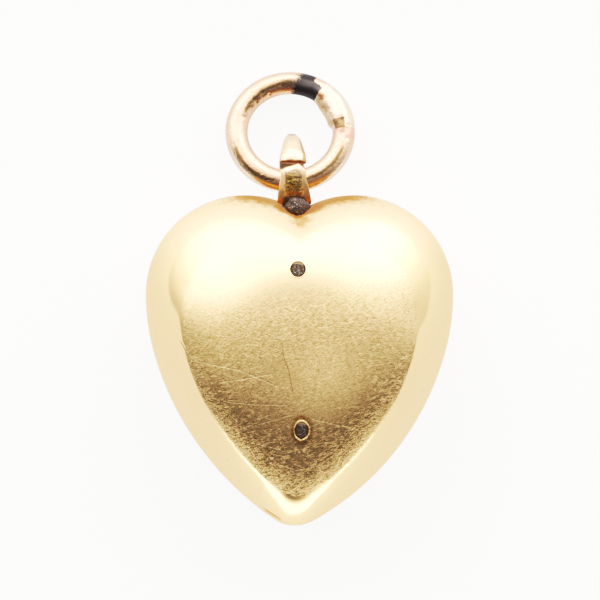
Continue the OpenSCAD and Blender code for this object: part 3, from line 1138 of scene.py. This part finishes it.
class Finish:
    """A metal or dirt finish: a material whose colour, roughness and relief are built up step by step."""

    def __init__(self, name, base, metallic, roughness):
        self.material = bpy.data.materials.new(name)
        self.material.use_nodes = True
        self.tree = self.material.node_tree
        self.shader = next(n for n in self.tree.nodes if n.type == "BSDF_PRINCIPLED")
        self.vector = scaled(self.tree, add(self.tree, "TexCoord").outputs["Object"], 1 / MM)
        self.colour = rgba(base)
        self.roughness = roughness
        self.metallic = metallic
        self.height = None

    def mask(self, name):
        """A mask that the mesh carries."""
        return add(self.tree, "Attribute", attribute_name=name, attribute_type="GEOMETRY").outputs["Fac"]

    def grain(self, size, detail=2.0, roughness=0.5):
        """Noise with features of about a size in millimetres, from 0 to 1."""
        return grain(self.tree, self.vector, size, detail, roughness)

    def blotches(self, size, low, high, start=0.0, end=1.0, detail=2.0, roughness=0.5):
        """Noise eased from one range to another."""
        return ease(self.tree, self.grain(size, detail, roughness), low, high, start, end)

    def streaks(self, degrees, long, wide):
        """Noise drawn out into streaks of about a length and width in millimetres, from 0 to 1."""
        sizes = {"Vector": self.vector, "Rotation": (0, 0, math.radians(degrees)), "Scale": (long, wide, 1)}
        drawn = add(self.tree, "Mapping", sizes, vector_type="TEXTURE").outputs[0]
        return grain(self.tree, drawn, 1.0, 3.0, 0.6)

    def times(self, first, *others):
        """Several values multiplied."""
        return product(self.tree, first, *others)

    def group(self, name, **inputs):
        """Places a shared group with its own values, working on this finish's own places."""
        inputs = {"Vector": self.vector, **inputs}
        return add(self.tree, "Group", inputs, node_tree=shared_group(name)).outputs

    def tint(self, amount, other):
        """Blends another colour in by a mask."""
        self.colour = blend_colours(self.tree, amount, self.colour, rgba(other))

    def film(self, name, film_colour, rougher, broken, spots, edge):
        """Lays a film over the metal where a mask is high and makes it rougher there. Noise of so many spots
        a millimetre breaks the film's edge, which is softer the higher its number."""
        made = self.group("film", Mask=self.mask(name), Film=rgba(film_colour), Metal=self.colour,
                          Broken=broken, Grain=spots, Edge=edge)
        self.colour = made["Color"]
        self.rough_up(made["Cover"], rougher)
        return made["Cover"]

    def rough_up(self, amount, change):
        """Adds to the roughness by a mask."""
        self.roughness = calc(self.tree, "MULTIPLY_ADD", amount, change, self.roughness, clamp=True)

    def dull(self, amount, metal_left):
        """Takes the metal look away by a mask."""
        self.metallic = ease(self.tree, amount, 0.0, 1.0, 1.0, metal_left)

    def emboss(self, amount, depth_mm):
        """Adds to the relief: a mask times a depth."""
        term = self.times(amount, depth_mm)
        self.height = term if self.height is None else calc(self.tree, "ADD", self.height, term)

    def close(self):
        """Passes the finish to its shader: what is the same all over as plain values, the rest by links."""
        values = {"Base Color": self.colour, "Roughness": self.roughness, "Metallic": self.metallic}
        if self.height is not None:
            bump = add(self.tree, "Bump", {"Height": self.height, "Distance": MM, "Strength": 1.0})
            values["Normal"] = bump.outputs[0]
        feed(self.tree, self.shader, values)
        return self.material


# Long scratches on the heart's back: width and the places that they run through, in millimetres
LONG_SCRATCHES = (
    (0.050, ((-5.40, -1.91), (-5.08, -2.50), (-4.67, -2.87), (-3.85, -3.05), (-2.71, -3.28), (-1.71, -3.69),
             (-1.03, -4.01))),
    (0.045, ((-3.30, -4.72), (-2.00, -4.83), (-0.60, -4.86))),
    (0.040, ((-1.85, -5.73), (-0.28, -5.28))),
    (0.035, ((-3.60, -3.85), (-1.20, -3.45))),
    (0.035, ((0.60, -5.50), (2.90, -6.05))),
    (0.035, ((1.10, -0.60), (1.60, -2.70))),
    (0.035, ((3.10, -1.30), (2.40, -3.30))),
    (0.035, ((-2.20, -6.60), (0.40, -7.20))),
)
# The one dark crack, in the same way
DARK_SCRATCH = (0.040, ((-0.80, -2.05), (-0.71, -2.68), (-0.48, -3.28), (-0.30, -4.19)))


def scratch_chain(finish, width, places):
    """A scratch through a row of places."""
    total = None
    for start, end in zip(places, places[1:]):
        line = finish.group("single_scratch", From=(*start, 0), To=(*end, 0), Width=width)["Line"]
        total = line if total is None else calc(finish.tree, "MAXIMUM", total, line)
    return total


# Hairlines in the polish, in millimetres: short ones everywhere and a few long ones, and how deep they
# are cut
FINE_HAIRLINES = {"Length": 0.42, "Spacing": 0.072, "Thin": 9.0}
LONG_HAIRLINES = {"Length": 1.5, "Spacing": 0.9, "Thin": 64.0}
HAIRLINE_DEPTH = 0.0051
# How much rougher the metal is in them
HAIRLINE_ROUGHNESS = 0.4
# Depth of the long ones as a share of that
LONG_SHARE = 1.4
# Streaks of dirt in the finest scratches: their angle, length and width, and how strongly they show
DIRT_STREAKS = ((26, 0.19, 0.06), (-20, 0.18, 0.06))
DIRT_SHARE = 0.50
# Tones of the gold: clouds in the polish, painted shade on the rim, the dirt in the scratches, their fresh
# edges and the dark crack
CLOUDED_GOLD = (0.82, 0.61, 0.33)
RIM_SHADE_GOLD = (0.76, 0.56, 0.32)
SCRATCH_DIRT = (0.34, 0.27, 0.10)
FRESH_GOLD = (1.0, 0.90, 0.65)
CRACK_BROWN = (0.30, 0.16, 0.06)
# Specks of bare metal in fired metal: their size in millimetres and the range of noise that they start in
SPECK_SIZE = 0.045
SPECK_RANGE = (0.58, 0.66)


def fired_specks(finish, cover, speck_colour):
    """Specks of bare metal that show through a fired film."""
    specks = finish.blotches(SPECK_SIZE, *SPECK_RANGE, detail=3.0, roughness=0.7)
    finish.tint(finish.times(specks, cover), speck_colour)


def gold_finish(colours):
    """Worn polish on yellow gold: hairlines everywhere, a few long scratches, tarnish at the joints."""
    finish = Finish("worn_yellow_gold", colours.yellow_gold, 1.0, 0.09)
    cloud = finish.grain(2.6, 3.0)
    finish.tint(ease(finish.tree, cloud, 0.35, 0.75, 0.0, 0.22), CLOUDED_GOLD)
    # Painted shade: darker gold on the rim band
    finish.tint(finish.mask("rim"), RIM_SHADE_GOLD)
    broad = finish.blotches(1.3, 0.36, 0.60, 0.85, 1.0)
    close = finish.blotches(0.16, 0.40, 0.60, 0.60, 1.0)
    worn = finish.times(broad, close, finish.mask("worn"))
    under = finish.times(finish.group("hairlines", **LONG_HAIRLINES)["Lines"], LONG_SHARE)
    lines = finish.times(finish.group("hairlines", **FINE_HAIRLINES, Under=under)["Lines"], worn)
    finish.emboss(lines, -HAIRLINE_DEPTH)
    finish.rough_up(lines, HAIRLINE_ROUGHNESS)
    for degrees, long, wide in DIRT_STREAKS:
        dirt = ease(finish.tree, finish.streaks(degrees, long, wide), 0.46, 0.66)
        finish.tint(finish.times(dirt, worn, DIRT_SHARE), SCRATCH_DIRT)
    for width, places in LONG_SCRATCHES:
        line = scratch_chain(finish, width, places)
        finish.emboss(line, -0.006)
        finish.tint(finish.times(line, 0.25), FRESH_GOLD)
    crack = scratch_chain(finish, *DARK_SCRATCH)
    finish.emboss(crack, 0.003)
    finish.tint(finish.times(crack, 0.6), CRACK_BROWN)
    finish.rough_up(ease(finish.tree, cloud, 0.3, 0.7), 0.03)
    halo = finish.film("halo", (0.40, 0.24, 0.09), rougher=0.10, broken=0.9, spots=5.0, edge=0.35)
    finish.emboss(halo, 0.001)
    finish.film("stain", colours.tarnish, rougher=0.10, broken=1.1, spots=3.5, edge=0.45)
    finish.film("scorched", (0.40, 0.155, 0.04), rougher=0.12, broken=1.4, spots=5.0, edge=0.40)
    finish.film("seam_stain", (0.55, 0.28, 0.14), rougher=0.10, broken=0.8, spots=4.0, edge=0.25)
    finish.film("seam", (0.50, 0.30, 0.12), rougher=0.10, broken=0.6, spots=2.0, edge=0.30)
    soot = finish.film("soot", (0.095, 0.074, 0.069), rougher=0.45, broken=1.1, spots=9.0, edge=0.20)
    fired_specks(finish, soot, (0.75, 0.62, 0.56))
    finish.dull(soot, 0.1)
    finish.emboss(finish.times(soot, finish.grain(0.04)), 0.012)
    return finish.close()


def bail_finish(colours):
    """The bail's redder gold, crumpled and yellow where solder ran up its front leg."""
    finish = Finish("bail_gold", colours.bail_gold, 1.0, 0.16)
    finish.emboss(finish.group("hairlines", Length=0.35, Spacing=0.12, Thin=8.0)["Lines"], -0.002)
    crumple = finish.mask("crumple")
    finish.tint(ease(finish.tree, crumple, 0.2, 0.7, 0.0, 0.85), (0.80, 0.58, 0.20))
    folds = finish.grain(0.08, 3.0, 0.6)
    # Painted shade: dark olive in the hollows of the crumpled folds
    finish.tint(finish.times(ease(finish.tree, folds, 0.50, 0.40), crumple), (0.30, 0.20, 0.06))
    finish.emboss(finish.times(folds, crumple), 0.030)
    # Painted reflection: the front leg's bevels in pale, dull cream; painted shade darkens the right one
    flank = finish.film("flank", (0.95, 0.65, 0.40), rougher=0.25, broken=0.8, spots=4.0, edge=0.40)
    finish.tint(finish.times(flank, finish.mask("right_flank_painted_shade")), (0.50, 0.34, 0.20))
    finish.film("stain", (0.38, 0.29, 0.19), rougher=0.12, broken=1.1, spots=3.0, edge=0.45)
    char = finish.film("char", (0.15, 0.112, 0.09), rougher=0.45, broken=1.5, spots=6.0, edge=0.40)
    fired_specks(finish, char, (0.50, 0.41, 0.36))
    finish.dull(calc(finish.tree, "MAXIMUM", finish.times(flank, 0.8), char), 0.2)
    # Painted shade: brown along the loop's crown and the tongue's right edge
    finish.film("edge_painted_shade", (0.42, 0.27, 0.16), rougher=0.10, broken=0.9, spots=4.0, edge=0.35)
    crinkle = finish.mask("crinkle")
    creases = finish.grain(0.30, 3.0, 0.6)
    from_crease = calc(finish.tree, "ABSOLUTE", calc(finish.tree, "SUBTRACT", creases, 0.5))
    crease = ease(finish.tree, from_crease, 0.0, 0.03, 1.0, 0.0)
    # Painted shade: brown lines along the tongue's crinkled creases
    finish.tint(finish.times(crease, crinkle, 0.7), (0.50, 0.32, 0.20))
    finish.emboss(finish.times(creases, crinkle), 0.035)
    # Painted shade: dark brown on the strip's ends in the open joint
    finish.film("joint", (0.42, 0.20, 0.10), rougher=0.30, broken=0.7, spots=6.0, edge=0.25)
    return finish.close()


def ring_finish(colours):
    """Rose gold wire with black fire scale and a pale solder repair."""
    finish = Finish("rose_gold_wire", colours.rose_gold, 1.0, 0.15)
    cloud = finish.grain(1.1, 3.0)
    finish.tint(ease(finish.tree, cloud, 0.40, 0.7, 0.0, 0.45), (0.60, 0.40, 0.24))
    # Painted reflection: pale cream on the wire's outer edge at the ring's near side
    finish.tint(finish.mask("low_edge_painted_reflection"), (0.92, 0.83, 0.66))
    finish.emboss(finish.group("hairlines", Length=0.45, Spacing=0.11, Thin=8.0)["Lines"], -0.0045)
    finish.rough_up(ease(finish.tree, cloud, 0.3, 0.7), 0.07)
    # Painted reflection: dark brown bands where the wire mirrors the dim surround
    finish.film("painted_dark_reflection", (0.27, 0.19, 0.11), rougher=0.06, broken=1.5, spots=6.0, edge=0.30)
    solder = finish.film("solder", colours.pale_solder, rougher=0.10, broken=0.9, spots=4.0, edge=0.25)
    finish.emboss(finish.times(finish.grain(0.22, 4.0, 0.6), solder), 0.040)
    # Tan at the solder's inner edge and a spot, and a painted reflection in tan round the ring's eye
    finish.film("tan_and_painted_reflection", (0.54, 0.345, 0.22), rougher=0.10, broken=1.0, spots=5.0, edge=0.35)
    finish.film("mend_seam", (0.66, 0.37, 0.29), rougher=0.05, broken=2.0, spots=6.0, edge=0.50)
    finish.film("facet", (0.35, 0.235, 0.15), rougher=0.20, broken=0.9, spots=8.0, edge=0.20)
    finish.film("scorch", (0.24, 0.17, 0.11), rougher=0.10, broken=2.0, spots=10.0, edge=0.25)
    scale = finish.film("fire_scale", colours.fire_scale, rougher=0.16, broken=1.5, spots=9.0, edge=0.25)
    # Painted sheen: a lighter grey band over the fire scale
    finish.tint(finish.times(finish.mask("scale_painted_sheen"), 0.6), (0.24, 0.22, 0.22))
    finish.emboss(scale, 0.004)
    finish.dull(scale, 0.15)
    return finish.close()


def residue_finish(colours):
    """Set dirt: dark grey with pale and brown specks, rusty at its edge and crusted at its top."""
    finish = Finish("set_dirt", colours.residue, 0.0, 0.75)
    finish.tint(finish.blotches(0.06, 0.54, 0.62, detail=3.0, roughness=0.7), (0.50, 0.45, 0.41))
    finish.tint(finish.blotches(0.16, 0.50, 0.62, 0.0, 0.8), (0.16, 0.075, 0.035))
    finish.film("rust", (0.075, 0.032, 0.018), rougher=0.0, broken=0.9, spots=7.0, edge=0.35)
    finish.film("crust", (0.42, 0.31, 0.22), rougher=0.0, broken=1.6, spots=8.0, edge=0.35)
    finish.emboss(finish.grain(0.05, 3.0), 0.030)
    return finish.close()


def solder_finish(colours):
    """Fired solder under the bail: black and purple-grey, rough, with specks of bare metal."""
    finish = Finish("fired_solder", (0.12, 0.094, 0.088), 0.1, 0.65)
    finish.tint(finish.blotches(0.14, 0.42, 0.60, 0.0, 0.6), colours.fire_scale)
    finish.tint(finish.blotches(0.20, 0.50, 0.65, 0.0, 0.5), (0.18, 0.11, 0.08))
    finish.tint(finish.blotches(0.05, 0.56, 0.64, detail=3.0, roughness=0.7), (0.90, 0.78, 0.71))
    finish.emboss(finish.grain(0.07, 4.0, 0.65), 0.040)
    return finish.close()


# Stage

# Soft panels of light round the pendant. Angles are in degrees: the bearing runs from +Y towards -X, the
# panel is full within one angle of it and gone beyond the other, and the four elevations are where it
# starts, is full, is still full and has ended.
SOFT_PANELS = (
    {"bearing": 5, "full": 30, "gone": 87, "rise": (-25, 20), "fall": (26, 80), "strength": 2.5},
    {"bearing": 181, "full": 42, "gone": 66, "rise": (-6, 1), "fall": (8, 17), "strength": 2.7},
    {"bearing": 0, "full": 80, "gone": 100, "rise": (-12, -2), "fall": (0, 24), "strength": 0.12},
    {"bearing": -54, "full": 24, "gone": 44, "rise": (-25, 0), "fall": (12, 56), "strength": 0.55},
)
# Round lamps: bearing, elevation, the angles within which each is full and beyond which it is gone, and
# its strength
ROUND_LAMPS = (
    {"bearing": -98, "elevation": 83, "full": 3, "gone": 11, "strength": 0.32},
    {"bearing": -125, "elevation": 76, "full": 5, "gone": 22, "strength": 0.34},
)
# The surround's brightness away from the panels: low towards the tip, high towards the ring, and between
# which places along Y the one passes into the other
SURROUND = {"low": 0.25, "high": 0.54, "from": -0.42, "to": 0.05}
SURROUND_TINT = (1.0, 0.97, 0.92)


def panel_light(tree, way, elevation, panel):
    """Light of a soft panel from each direction."""
    turn_back = {"Vector": way, "Angle": -math.radians(panel["bearing"])}
    turned = add(tree, "VectorRotate", turn_back, rotation_type="Z_AXIS").outputs[0]
    side, ahead, _ = parts(tree, turned)
    aside = calc(tree, "ABSOLUTE", calc(tree, "ARCTAN2", side, ahead))
    full, gone = math.radians(panel["full"]), math.radians(panel["gone"])
    light = ease(tree, aside, full, gone, panel["strength"], 0.0)
    rise = ease(tree, elevation, *np.radians(panel["rise"]).tolist())
    fall = ease(tree, elevation, *np.radians(panel["fall"]).tolist(), 1.0, 0.0)
    return product(tree, light, rise, fall)


def lamp_light(tree, way, lamp):
    """Light of a round lamp from each direction."""
    bearing, elevation = math.radians(lamp["bearing"]), math.radians(lamp["elevation"])
    flat = math.cos(elevation)
    towards = (-math.sin(bearing) * flat, math.cos(bearing) * flat, math.sin(elevation))
    facing = vector_calc(tree, "DOT_PRODUCT", way, towards, output="Value")
    angle = calc(tree, "ARCCOSINE", calc(tree, "MINIMUM", facing, 1.0))
    full, gone = math.radians(lamp["full"]), math.radians(lamp["gone"])
    return ease(tree, angle, full, gone, lamp["strength"], 0.0)


def studio_world():
    """A surround of soft panels that is bright beyond the pendant's top and dim beyond its tip."""
    world = bpy.data.worlds.new("studio")
    world.use_nodes = True
    tree = world.node_tree
    background = next(n for n in tree.nodes if n.type == "BACKGROUND")
    way = add(tree, "TexCoord").outputs["Generated"]
    _, north, up = parts(tree, way)
    elevation = calc(tree, "ARCSINE", calc(tree, "MINIMUM", up, 1.0))
    total = ease(tree, north, SURROUND["from"], SURROUND["to"], SURROUND["low"], SURROUND["high"])
    for panel in SOFT_PANELS:
        total = calc(tree, "ADD", total, panel_light(tree, way, elevation, panel))
    for lamp in ROUND_LAMPS:
        total = calc(tree, "ADD", total, lamp_light(tree, way, lamp))
    tree.links.new(scaled(tree, SURROUND_TINT, total), background.inputs["Color"])
    bpy.context.scene.world = world


# Light that the paper passes on from the light table under it, and the paler clouds in it
LIT_FROM_BELOW = 1.05
PAPER_CLOUD = (0.16, 0.155, 0.15)


def paper_finish(colour_value):
    """Pale paper with a faint grain."""
    finish = Finish("pale_paper", colour_value, 0.0, 0.4)
    finish.tint(finish.blotches(6.0, 0.3, 0.7, 0.0, 0.15, detail=3.0), PAPER_CLOUD)
    finish.emboss(finish.grain(0.3), 0.004)
    finish.shader.inputs["Emission Color"].default_value = (1, 1, 1, 1)
    finish.shader.inputs["Emission Strength"].default_value = LIT_FROM_BELOW
    return finish.close()


def floor_sheet(size, material):
    """The pale floor that the pendant lies on."""
    surface = Surface()
    side = np.linspace(-size / 2, size / 2, 9)
    x, y = (a.ravel() for a in np.meshgrid(side, side, indexing="ij"))
    surface.add(np.column_stack((x, y, np.zeros_like(x))))
    n = len(side)
    corner = (np.arange(n - 1)[:, None] * n + np.arange(n - 1)).ravel()
    surface.faces += np.column_stack((corner, corner + n, corner + n + 1, corner + 1)).tolist()
    floor = surface.build("floor", material)
    return floor


def photo_camera(stage, form):
    """A long lens straight above the pendant that frames it as the photograph does."""
    data = bpy.data.cameras.new("camera")
    camera = bpy.data.objects.new("camera", data)
    bpy.context.scene.collection.objects.link(camera)
    scale = stage.pixels_per_mm / MM
    half = stage.frame_pixels / 2
    x = (half - stage.middle_x) / scale
    y = form.middle_y + (stage.middle_y - half) / scale
    camera.location = (x, y, stage.camera_height)
    data.sensor_width = 36
    data.lens = data.sensor_width * (stage.camera_height - form.rest_z) / (stage.frame_pixels / scale)
    data.clip_start, data.clip_end = 0.01, 10
    bpy.context.scene.camera = camera


# The photograph's tones: light from the scene, and the brightness that it is shown with
TONES = (
    (0.00, 0.00), (0.098, 0.05), (0.149, 0.10), (0.222, 0.20), (0.278, 0.30), (0.42, 0.50),
    (0.645, 0.70), (0.89, 0.85), (1.11, 0.93), (1.20, 0.965), (1.27, 1.00),
)


def tone_curve(view):
    """Gives the picture the deep darks and soft highlights of a studio photograph."""
    view.view_transform = "Standard"
    view.use_curve_mapping = True
    mapping = view.curve_mapping
    white = TONES[-1][0]
    mapping.white_level = (white, white, white)
    curve = mapping.curves[3]
    curve.points[0].location = (0, 0)
    curve.points[1].location = (1, 1)
    for light, shown in TONES[1:-1]:
        curve.points.new(light / white, shown)
    mapping.update()


# Operators

def lay_down(surface, form, name, material, masks=None):
    """Moves a surface to where its form lies in the part, and makes the piece."""
    surface.points = form.place(surface.points)
    return surface.build(name, material, masks)


class PENDANT_OT_heart_shell(bpy.types.Operator):
    """Build the hollow heart with its seam and vents"""

    bl_idname = "pendant.heart_shell"
    bl_label = "Heart Shell"

    def execute(self, context):
        scene = context.scene
        form = HeartForm(scene.pendant_heart)
        surface = heart_shell(form)
        masks = heart_masks(form, surface.points)
        shell = lay_down(surface, form, "heart_shell", gold_finish(scene.pendant_finish), masks)
        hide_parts("heart")
        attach(shell, "root")
        return {"FINISHED"}


class PENDANT_OT_vent_residue(bpy.types.Operator):
    """Fill the vents with set dirt"""

    bl_idname = "pendant.vent_residue"
    bl_label = "Vent Residue"

    def execute(self, context):
        scene = context.scene
        form = HeartForm(scene.pendant_heart)
        material = residue_finish(scene.pendant_finish)
        for name, vent, depth, seed in zip(("top", "low"), VENTS, DIRT_DEPTHS, (31, 35)):
            surface, masks = vent_residue(form, vent, depth, seed)
            plug = lay_down(surface, form, f"{name}_vent_residue", material, masks)
            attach(plug, "root")
        return {"FINISHED"}


class PENDANT_OT_bail(bpy.types.Operator):
    """Build the bail and the fired solder under it"""

    bl_idname = "pendant.bail"
    bl_label = "Bail"

    def execute(self, context):
        scene = context.scene
        form = HeartForm(scene.pendant_heart)
        surface, masks = bail_strip(scene.pendant_bail)
        bail = lay_down(surface, form, "bail", bail_finish(scene.pendant_finish), masks)
        foot = np.array([SOLDER_AT[0], form.notch_y + SOLDER_AT[1], 0.0])
        surface = lump(foot, np.array(SOLDER_RADII), SOLDER_ROUGH, 41)
        solder = lay_down(surface, form, "notch_solder", solder_finish(scene.pendant_finish))
        spare_reflections(bail, solder)
        for piece in (bail, solder):
            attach(piece, "root")
        return {"FINISHED"}


class PENDANT_OT_jump_ring(bpy.types.Operator):
    """Build the jump ring with its fire scale and solder repair"""

    bl_idname = "pendant.jump_ring"
    bl_label = "Jump Ring"

    def execute(self, context):
        scene = context.scene
        form = RingForm(scene.pendant_ring)
        surface, masks = jump_ring(scene.pendant_ring, form.tilt)
        ring = lay_down(surface, form, "jump_ring_wire", ring_finish(scene.pendant_finish), masks)
        spare_reflections(ring)
        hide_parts("jump_ring")
        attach(ring, "root")
        return {"FINISHED"}


class PENDANT_OT_stage(bpy.types.Operator):
    """Lay the pale floor, light it softly and set up the camera"""

    bl_idname = "pendant.stage"
    bl_label = "Stage"

    def execute(self, context):
        scene = context.scene
        form = HeartForm(scene.pendant_heart)
        floor_sheet(scene.pendant_stage.floor_size, paper_finish(scene.pendant_stage.floor_colour))
        studio_world()
        photo_camera(scene.pendant_stage, form)
        tone_curve(scene.view_settings)
        return {"FINISHED"}


class PENDANT_PT_panel(bpy.types.Panel):
    """The pendant's tools and sizes in the 3D view's sidebar"""

    bl_label = "Puffed Heart Pendant"
    bl_idname = "PENDANT_PT_panel"
    bl_space_type = "VIEW_3D"
    bl_region_type = "UI"
    bl_category = "Pendant"

    def draw(self, context):
        for operator in OPERATORS:
            self.layout.operator(operator.bl_idname)
        for key, group in SETTINGS.items():
            box = self.layout.box()
            box.label(text=key.replace("pendant_", "").capitalize())
            for name in group.__annotations__:
                box.prop(getattr(context.scene, key), name)


SETTINGS = {
    "pendant_heart": PendantHeartSettings,
    "pendant_bail": PendantBailSettings,
    "pendant_ring": PendantRingSettings,
    "pendant_finish": PendantFinishSettings,
    "pendant_stage": PendantStageSettings,
}
OPERATORS = (
    PENDANT_OT_heart_shell,
    PENDANT_OT_vent_residue,
    PENDANT_OT_bail,
    PENDANT_OT_jump_ring,
    PENDANT_OT_stage,
)
CLASSES = (*SETTINGS.values(), *OPERATORS, PENDANT_PT_panel)


def register():
    """Adds the classes and their settings to the scene type."""
    for cls in CLASSES:
        bpy.utils.register_class(cls)
    for key, group in SETTINGS.items():
        setattr(bpy.types.Scene, key, PointerProperty(type=group))


def unregister():
    """Takes the settings and classes away again."""
    for key in SETTINGS:
        delattr(bpy.types.Scene, key)
    for cls in reversed(CLASSES):
        bpy.utils.unregister_class(cls)


def main():
    register()
    bpy.ops.pendant.heart_shell()
    bpy.ops.pendant.vent_residue()
    bpy.ops.pendant.bail()
    bpy.ops.pendant.jump_ring()
    bpy.ops.pendant.stage()


if __name__ == "__main__":
    main()
